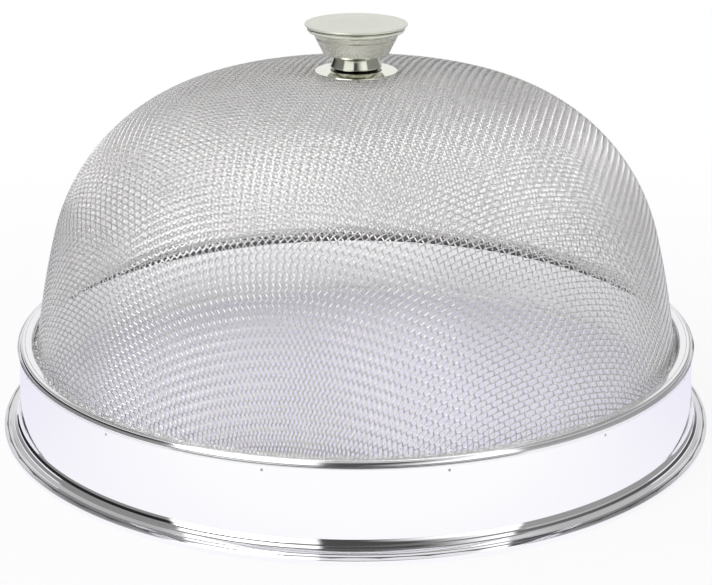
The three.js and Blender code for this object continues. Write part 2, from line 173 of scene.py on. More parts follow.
def sheet_section(face: np.ndarray, back: np.ndarray, thickness: float) -> np.ndarray:
    """Closes a bent sheet's section from its face and a smoother line along the face that its back follows.

    Each point of the back line moves by the thickness along the line's normal, to the left of its direction.

    Args:
        face: The visible face, one row of radius and height for each point.
        back: The same face without its small steps.
        thickness: The sheet's thickness.

    Returns:
        The closed outline of the sheet's section.
    """
    along = np.gradient(back, axis=0)
    along /= np.hypot(*along.T)[:, None]
    inwards = np.stack([-along[:, 1], along[:, 0]], axis=1)
    return np.concatenate([face, (back + thickness * inwards)[::-1]])


def turned(profile: np.ndarray, steps: int) -> tuple[np.ndarray, Faces]:
    """Turns a closed profile round the Z axis.

    The point of profile row i at step k is (r sin t, -r cos t, z) with t = 2 pi k / steps. Where the profile touches
    the axis, each pole is one point with a fan of triangles.

    Args:
        profile: One row of radius and height for each point. Rows on the axis come first and last.
        steps: Number of steps round the axis.

    Returns:
        The points and the faces, which point outwards.
    """
    r, z = profile.T
    area = (r * np.roll(z, -1) - np.roll(r, -1) * z).sum()
    if area < 0:
        r, z = r[::-1], z[::-1]
    has_poles = bool(min(r[0], r[-1]) < TINY)
    if has_poles:
        poles = np.array([[0.0, 0.0, z[0]], [0.0, 0.0, z[-1]]])
        r, z = r[1:-1], z[1:-1]
    turn = np.arange(steps) * FULL_TURN / steps
    heights = np.repeat(z[:, None], steps, axis=1)
    grid = np.stack([np.outer(r, np.sin(turn)), np.outer(r, -np.cos(turn)), heights], axis=-1)
    index = np.arange(grid.shape[0] * steps).reshape(-1, steps)
    upper = index[1:] if has_poles else np.roll(index, -1, axis=0)
    lower = index[:-1] if has_poles else index
    side = [lower, np.roll(lower, -1, axis=1), np.roll(upper, -1, axis=1), upper]
    quads = np.stack(side, axis=-1).reshape(-1, 4)
    points = grid.reshape(-1, 3)
    if not has_poles:
        return points, [quads]
    count = len(points)
    first = np.stack([np.full(steps, count), np.roll(index[0], -1), index[0]], axis=1)
    last = np.stack([np.full(steps, count + 1), index[-1], np.roll(index[-1], -1)], axis=1)
    return np.concatenate([points, poles]), [quads, np.concatenate([first, last])]


# Finishes


def linear(colour: int) -> tuple[float, float, float, float]:
    """Turns an sRGB colour to a linear one.

    Args:
        colour: The sRGB hex value, such as 0xE0E0E4.

    Returns:
        Linear red, green and blue, and an alpha of 1.
    """
    share = np.array([colour >> 16 & 255, colour >> 8 & 255, colour & 255]) / 255
    value = np.where(share <= 0.04045, share / 12.92, ((share + 0.055) / 1.055) ** 2.4)
    return (*map(float, value), 1.0)


def add_node(tree: Tree, kind: str, inputs: dict | list | tuple = (), **settings: object) -> Node:
    """Adds a shader node with its settings and inputs.

    Args:
        tree: The node tree.
        kind: The node's type without its ShaderNode prefix.
        inputs: The inputs in their order, or by name. Each is a value, the socket that it is linked from, or the
            node whose first output it is linked from.
        settings: The node's own settings.

    Returns:
        The new node.
    """
    node = tree.nodes.new("ShaderNode" + kind)
    for name, value in settings.items():
        setattr(node, name, value)
    for name, value in inputs.items() if isinstance(inputs, dict) else enumerate(inputs):
        if isinstance(value, Node):
            value = value.outputs[0]
        if isinstance(value, Socket):
            tree.links.new(value, node.inputs[name])
        else:
            node.inputs[name].default_value = value
    return node


def new_tree(name: str) -> tuple[bpy.types.Material, Tree]:
    """Makes an empty node material.

    Args:
        name: The material's name.

    Returns:
        The material and its tree.
    """
    material = bpy.data.materials.new(name)
    material.use_nodes = True
    material.node_tree.nodes.clear()
    return material, material.node_tree


def axis_coordinates(tree: Tree) -> tuple[Node, Socket, Socket]:
    """Reads the Object coordinates of a round piece.

    Args:
        tree: The node tree.

    Returns:
        The node that splits them into x, y and z, the distance from the Z axis, and the place as a vector.
    """
    place = add_node(tree, "TexCoord").outputs["Object"]
    parts = add_node(tree, "SeparateXYZ", [place])
    flat = add_node(tree, "CombineXYZ", [parts.outputs[0], parts.outputs[1]])
    radius = add_node(tree, "VectorMath", [flat], operation="LENGTH").outputs["Value"]
    return parts, radius, place


def end_in_metal(tree: Tree, inputs: dict) -> None:
    """Ends a finish's tree with a metal surface that has the given inputs."""
    metal = add_node(tree, "BsdfPrincipled", {"Metallic": 1.0, **inputs})
    add_node(tree, "OutputMaterial", [metal])


@dataclass(frozen=True)
class PolishedSheet:
    """Stainless sheet, pressed, spun and buffed to a mirror: clear reflections with a slight pull from the press.

    Fine buffing lines run round the rim. They are about 0.05 mm apart on the real sheet and drawn 0.6 mm apart so
    that they show. The lip is buffed less and reflects more softly. Each spot weld leaves a dull round mark, 1 mm
    across, under the lip. Sizes in millimetres.
    """

    name: str = "polished_stainless_sheet"
    colour: int = 0xFDFDFF
    roughness: float = 0.045
    roughness_shares: Pair = (0.7, 1.5)
    line_spacing: float = 0.6
    line_depth: float = 0.02
    ripple_width: float = 38.0
    ripple_depth: float = 0.25
    lip_roughness: float = 0.07
    lip_height: float = 34.2
    mark_colour: int = 0xB4B4B8
    mark_roughness: float = 0.4
    mark_height: float = 32.6
    mark_radii: Pair = (0.6325, 0.4125)
    mark_depth: float = 0.06
    mark_count: int = WELD_COUNT

    def mark(self, tree: Tree, parts: Node, radius: Socket) -> Node:
        """Draws the marks of the spot welds.

        The first mark is at the back, and the turn is cut into one cell round each. A point's distance sideways from
        its mark is the turn from the cell's middle times the radius.

        Args:
            tree: The node tree.
            parts: The node that splits the place into x, y and z.
            radius: The distance from the axis.

        Returns:
            1 in the marks and 0 beside them.
        """
        half_cell = FULL_TURN / self.mark_count / 2
        bearing = add_node(tree, "Math", [parts.outputs[0], parts.outputs[1]], operation="ARCTAN2")
        turn = add_node(tree, "Math", [bearing, half_cell, -half_cell], operation="WRAP")
        sideways = add_node(tree, "Math", [turn, radius], operation="MULTIPLY")
        upwards = add_node(tree, "Math", [parts.outputs[2], self.mark_height * MM], operation="SUBTRACT")
        offset = add_node(tree, "CombineXYZ", [sideways, upwards])
        distance = add_node(tree, "VectorMath", [offset], operation="LENGTH").outputs["Value"]
        edge = [distance, *(edge_radius * MM for edge_radius in self.mark_radii)]
        return add_node(tree, "MapRange", edge, interpolation_type="SMOOTHSTEP")

    def build(self) -> bpy.types.Material:
        """The material: buffing lines in the roughness, and the press's pull, the lines and the marks as relief."""
        material, tree = new_tree(self.name)
        parts, radius, place = axis_coordinates(tree)
        ring = add_node(tree, "CombineXYZ", [radius, parts.outputs[2]])
        lines = add_node(tree, "TexNoise", {"Vector": ring, "Scale": 1 / (self.line_spacing * MM), "Detail": 3.0})
        ripple = add_node(tree, "TexNoise", {"Vector": place, "Scale": 1 / (self.ripple_width * MM), "Detail": 1.0})
        mark = self.mark(tree, parts, radius)
        colour = add_node(tree, "MixRGB", [mark, linear(self.colour), linear(self.mark_colour)])
        shares = (self.roughness * share for share in self.roughness_shares)
        smear = add_node(tree, "MapRange", [lines, 0.0, 1.0, *shares])
        on_lip = add_node(tree, "Math", [parts.outputs[2], self.lip_height * MM], operation="GREATER_THAN")
        lip_smear = add_node(tree, "Math", [on_lip, self.lip_roughness, smear], operation="MULTIPLY_ADD")
        dulled = add_node(tree, "Math", [mark, self.mark_roughness, lip_smear], operation="MULTIPLY_ADD")
        pull = add_node(tree, "Bump", {"Height": ripple, "Strength": 0.12, "Distance": self.ripple_depth * MM})
        buffing = {"Height": lines, "Strength": 0.05, "Distance": self.line_depth * MM, "Normal": pull}
        buffed = add_node(tree, "Bump", buffing)
        dent = {"Height": mark, "Strength": 0.6, "Distance": self.mark_depth * MM, "Normal": buffed}
        dented = add_node(tree, "Bump", dent, invert=True)
        end_in_metal(tree, {"Base Color": colour, "Roughness": dulled, "Normal": dented})
        return material


@dataclass(frozen=True)
class TurnedSteel:
    """Stainless steel turned on a lathe and polished: soft-edged reflections crossed by fine tool lines.

    The tool lines follow the distance from the axis and the height, so they run round the piece. They are about
    0.1 mm apart on the real piece and drawn at line_spacing so that they show. Below the joint's height the steel is
    painted dark: painted shade in the joint, where the gap's shadow falls. Sizes in millimetres.
    """

    name: str
    colour: int
    shade_colour: int
    roughness: float
    roughness_shares: Pair = (0.6, 1.4)
    line_spacing: float = 0.55
    line_depth: float = 0.012
    cloud_width: float = 9.0
    joint_shade_height: float = 0.0
    joint_shade_colour: int = 0x2A2A28

    def build(self) -> bpy.types.Material:
        """The material: tool lines in the bump and the roughness, and slow clouds in the colour."""
        material, tree = new_tree(self.name)
        parts, radius, place = axis_coordinates(tree)
        ring = add_node(tree, "CombineXYZ", [radius, parts.outputs[2]])
        line_inputs = {"Vector": ring, "Scale": 1 / (self.line_spacing * MM), "Detail": 4.0, "Roughness": 0.6}
        lines = add_node(tree, "TexNoise", line_inputs)
        clouds = add_node(tree, "TexNoise", {"Vector": place, "Scale": 1 / (self.cloud_width * MM), "Detail": 3.0})
        clouded = add_node(tree, "MixRGB", [clouds, linear(self.shade_colour), linear(self.colour)])
        # Painted shade: below the joint's height the steel is painted dark, where the gap's shadow falls.
        in_joint_shade = add_node(tree, "Math", [parts.outputs[2], self.joint_shade_height * MM], operation="LESS_THAN")
        colour = add_node(tree, "MixRGB", [in_joint_shade, clouded, linear(self.joint_shade_colour)])
        shares = (self.roughness * share for share in self.roughness_shares)
        smear = add_node(tree, "MapRange", [lines, 0.0, 1.0, *shares])
        relief = add_node(tree, "Bump", {"Height": lines, "Strength": 0.5, "Distance": self.line_depth * MM})
        end_in_metal(tree, {"Base Color": colour, "Roughness": smear, "Normal": relief})
        return material


@dataclass(frozen=True)
class DrawnWire:
    """Bright stainless wire, drawn through a die and woven: a tight highlight along each wire, a little uneven."""

    name: str = "drawn_stainless_wire"
    colour: int = 0xFBFAF9
    shade_colour: int = 0xEDECEB
    roughness: float = 0.24
    roughness_shares: Pair = (0.6, 1.5)
    patch_width: float = 26.0
    grain_width: float = 0.35

    def build(self) -> bpy.types.Material:
        """The material: patches from handling in the colour, and the die's fine grain in the roughness."""
        material, tree = new_tree(self.name)
        place = add_node(tree, "TexCoord").outputs["Object"]
        patches, grain = (
            add_node(tree, "TexNoise", {"Vector": place, "Scale": 1 / (width * MM), "Detail": 2.0})
            for width in (self.patch_width, self.grain_width)
        )
        colour = add_node(tree, "MixRGB", [patches, linear(self.shade_colour), linear(self.colour)])
        shares = (self.roughness * share for share in self.roughness_shares)
        smear = add_node(tree, "MapRange", [grain, 0.0, 1.0, *shares])
        end_in_metal(tree, {"Base Color": colour, "Roughness": smear})
        return material


# Pieces


@dataclass
class Rim:
    """The sheet rim with its lip, wall, flare and foot bead, and the ring inside it.

    Sizes in millimetres. A corner has a radius, a height and the radius of its bend. The lip's corners run from its
    tucked-in edge to the top of the wall, and the foot's from the flare's edge round the bead. A pressed step of the
    flare has the radius and height of its top edge, and its rise. The ring is L-shaped: a ledge below the mesh's
    edge and a leg along the wall.
    """

    polish: PolishedSheet
    inner_shaded_steel: TurnedSteel
    weld_finish: TurnedSteel
    sheet: float = 0.6
    lip: Profile = (
        (139.84, 34.65, 0), (136.1, 34.65, 1.25), (136.1, 37.54, 1.25), (139.2, 37.6, 8.0), (141.61, 37.54, 2.6),
        (142.3, 34.98, 0.1), (141.74, 34.75, 0.1),
    )
    wall_foot: Triple = (143.31, 7.35, 0.25)
    fillet: Triple = (143.77, 6.45, 2.0)
    pressed_steps: Profile = ((144.53, 5.7, 0.49), (145.75, 4.52, 0.45), (147.3, 3.38, 0.3))
    step_lean: float = 0.4
    step_bends: Pair = (0.05, 0.03)
    back_corner: Triple = (146.6, 3.8, 3.0)
    tightest_back_bend: float = 0.63
    foot: Profile = ((149.93, 2.08, 0.25), (149.93, 0, 0.7), (146.93, 0, 0.7), (146.93, 2.7, 0.7), (148.23, 2.7, 0))
    ring_line: Profile = ((136.1, 33.85, 0.0), (140.05, 33.85, 0.8), (140.45, 29.6, 0.0))
    steps: int = 348

    def flare(self, stepped: bool) -> list[Triple]:
        """Lays out the face down the fillet and the flare.

        Args:
            stepped: Whether the flare has its pressed steps.

        Returns:
            The corners.
        """
        if not stepped:
            return [self.wall_foot, self.fillet, self.back_corner]
        corners = [self.wall_foot, self.fillet]
        top_bend, foot_bend = self.step_bends
        for radius, height, rise in self.pressed_steps:
            corners += [(radius, height, top_bend), (radius + rise * self.step_lean, height - rise, foot_bend)]
        return corners

    def face(self, stepped: bool) -> np.ndarray:
        """Lays out the sheet's outer face from the lip's tucked-in edge to the bead's.

        Args:
            stepped: Whether the flare has its pressed steps. Without them the face is the line that the back
                follows, whose bends are wide enough for the sheet's thickness.

        Returns:
            The rounded profile.
        """
        corners = np.array([*self.lip, *self.flare(stepped), *self.foot])
        if not stepped:
            corners[1:-1, 2] = np.maximum(corners[1:-1, 2], self.tightest_back_bend)
        return rounded(corners, closed=False)

    def dress_hidden_nodes(self) -> None:
        """Gives the foot's wire and the weld nuggets their steel."""
        wire_steel, weld_steel = self.inner_shaded_steel.build(), self.weld_finish.build()
        for name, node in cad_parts.items():
            if name == "foot_wire" or name.startswith("spot_weld_"):
                node.data.materials.clear()
                node.data.materials.append(wire_steel if name == "foot_wire" else weld_steel)

    def build(self) -> list[Object]:
        """The rim as one bent sheet and the ring under its lip, both turned round the axis."""
        self.dress_hidden_nodes()
        band = sheet_section(self.face(stepped=True), self.face(stepped=False), -self.sheet)
        line = rounded(self.ring_line, closed=False)
        ring = sheet_section(line, line, -self.sheet)
        plan = [
            ("polished_rim", turned(band, self.steps), self.polish.build(), "rim_band", "rim_steel"),
            # The ring's steel is painted dark: painted shade under the lip.
            ("clamping_ring", turned(ring, self.steps), self.inner_shaded_steel.build(), "retaining_ring", "inner_steel"),
        ]
        return add_dressed(plan)


@dataclass(frozen=True)
class DomeOutline:
    """Outline of the pressed dome through the middle of its mesh: three arcs, each tangent to the next.

    Sizes in millimetres. The changes are the angles from the vertical, in degrees, at which one arc ends and the next
    begins. A height is looked up among many points, down to the searched angle of the last arc, in radians.
    """

    top: float = 147.81
    radii: Triple = (286.15, 83.0, 395.55)
    changes: Pair = (12.7, 75.4)
    searched_angle: float = 0.2
    searched_points: int = 20001

    def arcs(self) -> tuple[np.ndarray, np.ndarray, np.ndarray, np.ndarray]:
        """Each arc's radius, centre, first angle from the vertical and first arc length from the top."""
        radii = np.array(self.radii)
        first = np.radians([0.0, *self.changes])
        lengths = np.concatenate([[0.0], np.cumsum(radii[:2] * np.diff(first))])
        direction = np.stack([np.sin(first), np.cos(first)], axis=1)
        shrink = np.concatenate([[0.0], radii[:2] - radii[1:]])
        centres = np.array([0.0, self.top - radii[0]]) + np.cumsum(shrink[:, None] * direction, axis=0)
        return radii, centres, first, lengths

    def at(self, length: np.ndarray) -> tuple[np.ndarray, np.ndarray, np.ndarray]:
        """Finds places on the outline.

        On an arc with centre c the angle is the arc's first angle plus length over radius, and the point is c plus
        radius times (sin, cos) of that angle.

        Args:
            length: Arc lengths from the top.

        Returns:
            Radius, height and angle from the vertical.
        """
        radii, centres, first, lengths = self.arcs()
        arc = np.clip(np.searchsorted(lengths, length, side="right") - 1, 0, len(radii) - 1)
        angle = first[arc] + (length - lengths[arc]) / radii[arc]
        radius = centres[arc, 0] + radii[arc] * np.sin(angle)
        height = centres[arc, 1] + radii[arc] * np.cos(angle)
        return radius, height, angle

    def length_at(self, height: float) -> float:
        """Finds the arc length from the top down to a height.

        Args:
            height: The height above the foot.

        Returns:
            The arc length.
        """
        end = self.arcs()[3][-1] + self.radii[-1] * self.searched_angle
        lengths = np.linspace(0, end, self.searched_points)
        return float(np.interp(-height, -self.at(lengths)[1], lengths))


@dataclass
class WovenDome:
    """The woven wire dome, pressed from a flat square mesh so that its squares shear into rhombs on the way down.

    Sizes in millimetres and bearings in degrees from +X. The mesh turns out at edge_height into a flange under
    the rim's lip.
    """

    outline: DomeOutline
    finish: DrawnWire
    pitch: float = 2.27
    wire: float = 0.58
    bearing: float = 35.0
    edge_height: float = 34.28
    flange: float = 5.2
    screw_hole: float = 3.2
    flat_share: float = 0.22
    sides: int = 5
    groups: int = 4
    newton_steps: int = 12

    def quarter_net(self) -> tuple[np.ndarray, np.ndarray]:
        """Arc length and bearing of every knot in one quarter of the net.

        Two straight wires run down from the top along the quarter's edges. Every other knot lies one pitch from its
        neighbour in each set. The knots of one diagonal depend only on the two before it, so Newton's method finds a
        whole diagonal at a time.

        Returns:
            Two square arrays with a row for each wire of one set and a column for each of the other.
        """
        reach = self.outline.length_at(self.edge_height) + self.flange + 2 * self.pitch
        count = math.ceil(reach / self.pitch)
        length, bearing = np.full((2, count + 1, count + 1), np.nan)
        steps = np.arange(count + 1) * self.pitch
        length[:, 0], length[0, :] = steps, steps
        bearing[:, 0], bearing[0, :] = 0.0, math.pi / 2
        for diagonal in range(2, 2 * count + 1):
            i = np.arange(max(1, diagonal - count), min(count, diagonal - 1) + 1)
            j = diagonal - i
            near = np.minimum(length[i - 1, j], length[i, j - 1]) < reach
            i, j = i[near], j[near]
            if not len(i):
                break
            left, below = (length[i - 1, j], bearing[i - 1, j]), (length[i, j - 1], bearing[i, j - 1])
            length[i, j], bearing[i, j] = self.next_knots(left, below, length[i - 1, j - 1])
        return length, bearing

    def next_knots(
        self, left: tuple[np.ndarray, np.ndarray], below: tuple[np.ndarray, np.ndarray], corner: np.ndarray
    ) -> tuple[np.ndarray, np.ndarray]:
        """Finds knots one pitch from both of their known neighbours, by Newton's method.

        Args:
            left: Arc length and bearing of the neighbours along one set of wires.
            below: The same along the other set.
            corner: Arc length of the knots between those neighbours.

        Returns:
            Arc length and bearing of the knots.
        """
        from_left, _, _ = self.place(*left)
        from_below, _, _ = self.place(*below)
        length = left[0] + below[0] - corner
        bearing = np.where(corner == 0, math.pi / 4, (left[1] + below[1]) / 2)
        for _ in range(self.newton_steps):
            point, outwards, sideways = self.place(length, bearing)
            to_left, to_below = point - from_left, point - from_below
            miss_left = (to_left**2).sum(-1) - self.pitch**2
            miss_below = (to_below**2).sum(-1) - self.pitch**2
            a, b = 2 * (to_left * outwards).sum(-1), 2 * (to_left * sideways).sum(-1)
            c, d = 2 * (to_below * outwards).sum(-1), 2 * (to_below * sideways).sum(-1)
            determinant = a * d - b * c
            length = length - (miss_left * d - miss_below * b) / determinant
            bearing = bearing - (miss_below * a - miss_left * c) / determinant
        return length, bearing

    def place(self, length: np.ndarray, bearing: np.ndarray) -> tuple[np.ndarray, np.ndarray, np.ndarray]:
        """Places knots on the dome.

        Args:
            length: Arc lengths from the top.
            bearing: Bearings in radians.

        Returns:
            The points, with their change along the arc length and along the bearing.
        """
        radius, height, angle = self.outline.at(length)
        cos, sin = np.cos(bearing), np.sin(bearing)
        point = np.stack([radius * cos, radius * sin, height], axis=-1)
        outwards = np.stack([np.cos(angle) * cos, np.cos(angle) * sin, -np.sin(angle)], axis=-1)
        sideways = np.stack([-radius * sin, radius * cos, np.zeros_like(radius)], axis=-1)
        return point, outwards, sideways

    def whole_net(self) -> tuple[np.ndarray, np.ndarray, np.ndarray]:
        """Points, outward normals and use of every knot of the whole net.

        The quarter is mirrored across both straight wires and turned to the weave's bearing. Past the edge's arc
        length a knot moves straight out along the flange, and the normal turns up.
        """
        length, bearing = self.quarter_net()
        count = length.shape[0] - 1
        index = np.arange(-count, count + 1)
        i, j = np.meshgrid(np.abs(index), np.abs(index), indexing="ij")
        length, bearing = length[i, j], bearing[i, j]
        edge = self.outline.length_at(self.edge_height)
        past = length - edge
        used = np.isfinite(length) & (past < self.flange)
        inside = np.where(used, np.minimum(length, edge), 0.0)
        radius, height, angle = self.outline.at(inside)
        on_flange = past > 0
        radius = radius + np.where(on_flange & used, past, 0.0)
        used &= radius > self.screw_hole
        sign = np.sign(index + 0.5)
        cos, sin = math.cos(math.radians(self.bearing)), math.sin(math.radians(self.bearing))
        flat = np.stack([np.cos(bearing) * sign[:, None], np.sin(bearing) * sign], axis=-1)
        flat = flat @ np.array([[cos, sin], [-sin, cos]])
        points = np.concatenate([flat * radius[..., None], height[..., None]], axis=-1)
        tilt = np.where(on_flange, 0.0, angle)
        normals = np.concatenate([flat * np.sin(tilt)[..., None], np.cos(tilt)[..., None]], axis=-1)
        return np.nan_to_num(points), np.nan_to_num(normals), used

    def wires(self, which: WireSet, group: int) -> tuple[np.ndarray, Faces]:
        """A share of one set's wires as closed tubes.

        Each stretch between two knots has a ring near either end. A ring's middle lies on the straight line between
        the knots, lifted along the surface's normal by half a wire, up where this wire passes over and down where it
        passes under. The ring's points are its middle plus half a wire times (cos t) of the normal and (sin t) of
        the direction across.

        Args:
            which: The set of wires.
            group: Which share of the set, from 0.

        Returns:
            The points and the faces.
        """
        points, normals, used = self.net
        count = points.shape[0] // 2
        index = np.arange(-count, count + 1)
        over = np.where((index[:, None] + index[None, :]) % 2 == 0, 1.0, -1.0)
        if which is WireSet.FIRST:
            points, normals, used = (np.swapaxes(a, 0, 1) for a in (points, normals, used))
        else:
            over = -over
        taken = np.array_split(np.arange(len(index)), self.groups)[group]
        points, normals, used, over = points[taken], normals[taken], used[taken], over[taken]
        here, there = points[:, :-1], points[:, 1:]
        joined = used[:, :-1] & used[:, 1:]
        along = there - here
        lift = normals * (over * self.wire / 2)[..., None]
        flat = along * self.flat_share
        middles = np.stack([here + flat + lift[:, :-1], there - flat + lift[:, 1:]], axis=2)
        axis = along / np.maximum(np.linalg.norm(along, axis=-1, keepdims=True), TINY)
        axis = np.repeat(axis[:, :, None], 2, axis=2)
        across = np.cross(np.stack([normals[:, :-1], normals[:, 1:]], axis=2), axis)
        across /= np.maximum(np.linalg.norm(across, axis=-1, keepdims=True), TINY)
        upright = np.cross(axis, across)
        turn = np.arange(self.sides) * FULL_TURN / self.sides
        circle = np.cos(turn)[:, None] * upright[..., None, :] + np.sin(turn)[:, None] * across[..., None, :]
        rings = middles[..., None, :] + circle * self.wire / 2
        ring = np.arange(joined.size * 2).reshape(*joined.shape, 2)
        onwards = joined[:, :-1] & joined[:, 1:]
        stretches = np.stack([ring[..., 0][joined], ring[..., 1][joined]], axis=1)
        bends = np.stack([ring[:, :-1, 1][onwards], ring[:, 1:, 0][onwards]], axis=1)
        pairs = np.concatenate([stretches, bends])
        side = np.arange(self.sides)
        corner = pairs[:, :, None] * self.sides + side
        further = pairs[:, :, None] * self.sides + np.roll(side, -1)
        quads = np.stack([corner[:, 0], corner[:, 1], further[:, 1], further[:, 0]], axis=-1).reshape(-1, 4)
        begins = joined.copy()
        begins[:, 1:] &= ~joined[:, :-1]
        finishes = joined.copy()
        finishes[:, :-1] &= ~joined[:, 1:]
        first_caps = ring[..., 0][begins][:, None] * self.sides + side
        last_caps = ring[..., 1][finishes][:, None] * self.sides + side[::-1]
        caps = np.concatenate([first_caps, last_caps])
        kept, renumbered = np.unique(np.concatenate([quads.ravel(), caps.ravel()]), return_inverse=True)
        quads = renumbered[: quads.size].reshape(quads.shape)
        caps = renumbered[quads.size :].reshape(caps.shape)
        return rings.reshape(-1, 3)[kept], [quads, caps]

    def build(self) -> list[Object]:
        """The dome's wires, each set in a few pieces."""
        self.net = self.whole_net()
        steel = self.finish.build()
        plan = [
            (f"woven_wires_{which.value}_{group + 1}", self.wires(which, group), steel, "mesh_dome", "woven_wire")
            for which in WireSet
            for group in range(self.groups)
        ]
        return add_dressed(plan)


@dataclass
class Knob:
    """The turned knob with its cap, flange, screw and washers.

    Sizes in millimetres, heights from the foot. Each profile has the radius, the height and the rounding's radius of
    its corners. The disc has a spigot inside the cup, the flange's edge is rolled down onto the mesh, and the
    screw's head is down under the dome.
    """

    body_finish: TurnedSteel
    flange_finish: TurnedSteel
    cap_finish: TurnedSteel
    fastener_finish: TurnedSteel
    disc: Profile = (
        (0, 165.3, 0), (15.5, 165.3, 0.1), (15.5, 166.6, 0.1), (20.2, 166.6, 0.1), (20.95, 167.0, 0.15),
        (20.95, 167.5, 0.18), (0, 167.5, 0),
    )
    hole: Profile = ((0, 156.4, 0), (1.9, 156.4, 0), (1.9, 149.1, 0.2), (8.9, 149.1, 0.1), (8.9, 149.9, 0.1))
    neck_waist: float = 8.5
    neck_spread: float = 2.0
    neck_flick: float = 0.5
    neck_flick_power: int = 10
    neck_heights: Pair = (149.9, 155.1)
    neck_share: float = 0.94
    neck_points: int = 14
    cone: Profile = (
        (13.4, 155.35, 0.35), (16.7, 161.75, 0.12), (16.3, 162.05, 0.12), (17.0, 162.4, 0.12), (17.9, 164.1, 0.3),
        (20.0, 164.75, 0.75), (20.0, 166.45, 0.6),
    )
    cup: Profile = ((16.0, 166.45, 0.2), (16.0, 165.0, 0.3), (11.6, 158.6, 0.5), (0, 158.6, 0))
    flange: Profile = (
        (1.9, 148.45, 0.1), (12.6, 148.45, 2.5), (16.0, 147.5, 0.1), (16.9, 147.5, 0.25), (16.9, 148.1, 0.4),
        (12.2, 149.05, 4.0), (1.9, 149.05, 0.1),
    )
    screw: Profile = (
        (0, 139.45, 0), (3.6, 139.45, 1.6), (4.9, 140.5, 0.8), (4.9, 142.05, 0.15), (1.5, 142.05, 0.1),
        (1.5, 156.0, 0.1), (1.0, 156.45, 0.1), (0, 156.45, 0),
    )
    washer: Profile = ((1.9, 143.5, 0.15), (16.35, 143.5, 0.35), (16.35, 144.65, 0.35), (1.9, 144.65, 0.15))
    split_section: Profile = ((1.9, 142.27, 0.12), (4.85, 142.27, 0.12), (4.85, 143.33, 0.12), (1.9, 143.33, 0.12))
    split_gap: float = 14.0
    split_lift: float = 0.12
    split_steps: int = 90
    steps: int = 160

    def body(self) -> np.ndarray:
        """Neck, cone and lip of the knob, hollowed from above as a cup and from below for the screw.

        The neck's radius at share u of its height is the waist's plus the spread times (1 - u), plus the flick,
        where it turns out under the cone, times a power of u.
        """
        share = np.linspace(0.0, self.neck_share, self.neck_points)
        radius = self.neck_waist + self.neck_spread * (1 - share) + self.neck_flick * share**self.neck_flick_power
        low, high = self.neck_heights
        neck = np.stack([radius, low + (high - low) * share, np.zeros_like(share)], axis=1)
        return rounded(np.concatenate([self.hole, neck, self.cone, self.cup]))

    def split_washer(self) -> tuple[np.ndarray, Faces]:
        """The spring washer: a rounded square section carried once round in a slight helix, with a gap.

        At share u of the way round, the section stands at turn gap/2 + u (360 - gap) degrees and rises by the
        offset u - 1/2 times the lift.
        """
        section = rounded(self.split_section)
        share = np.linspace(0, 1, self.split_steps)
        turn = np.radians(self.split_gap / 2 + share * (360 - self.split_gap))
        r, z = section.T
        lifted = z + self.split_lift * (share[:, None] - 0.5)
        points = np.stack([np.outer(np.sin(turn), r), np.outer(-np.cos(turn), r), lifted], axis=-1)
        index = np.arange(len(turn) * len(section)).reshape(len(turn), -1)
        onwards = np.roll(index, -1, axis=1)
        quads = np.stack([index[:-1], index[1:], onwards[1:], onwards[:-1]], axis=-1).reshape(-1, 4)
        caps = np.stack([index[0], index[-1][::-1]])
        return points.reshape(-1, 3), [quads, caps]

    def build(self) -> list[Object]:
        """All of the knob's pieces."""
        finishes = (self.body_finish, self.flange_finish, self.cap_finish, self.fastener_finish)
        body_steel, flange_steel, cap_steel, screw_steel = (finish.build() for finish in finishes)
        plan = [
            ("knob_disc", turned(rounded(self.disc), self.steps), cap_steel, "knob_cap", "cap_steel"),
            ("knob_stem", turned(self.body(), self.steps), body_steel, "knob_body", "knob_steel"),
            ("knob_flange", turned(rounded(self.flange), self.steps), flange_steel, "knob_base", "knob_steel"),
            ("pan_screw", turned(rounded(self.screw), self.steps), screw_steel, "knob_screw", "fastener_steel"),
            ("wide_washer", turned(rounded(self.washer), self.steps), screw_steel, "inner_washer", "fastener_steel"),
            ("split_washer", self.split_washer(), screw_steel, "spring_washer", "fastener_steel"),
        ]
        return add_dressed(plan)


# Studio


@dataclass
class Viewpoint:
    """The camera of the picture: its place, aim and lens were fitted to the picture's own perspective.

    Lens and sensor in millimetres, places in metres, angles in radians.
    """

    lens: float = 98.32
    sensor: float = 36.0
    nearest: float = 0.01
    place: Triple = (0.0, -0.77861, 0.32759)
    yaw: float = 0.0001
    pitch: float = 0.34044
    roll: float = 0.00134

    def build(self) -> None:
        """Puts the camera in its place, looking to the back and down."""
        data = bpy.data.cameras.new("camera")
        data.sensor_width = self.sensor
        data.lens = self.lens
        data.clip_start = self.nearest
        camera = bpy.data.objects.new("camera", data)
        bpy.context.scene.collection.objects.link(camera)
        aim = Matrix.Rotation(-self.yaw, 4, "Z") @ Matrix.Rotation(math.pi / 2 - self.pitch, 4, "X")
        camera.matrix_world = Matrix.Translation(self.place) @ aim @ Matrix.Rotation(self.roll, 4, "Z")
        bpy.context.scene.camera = camera


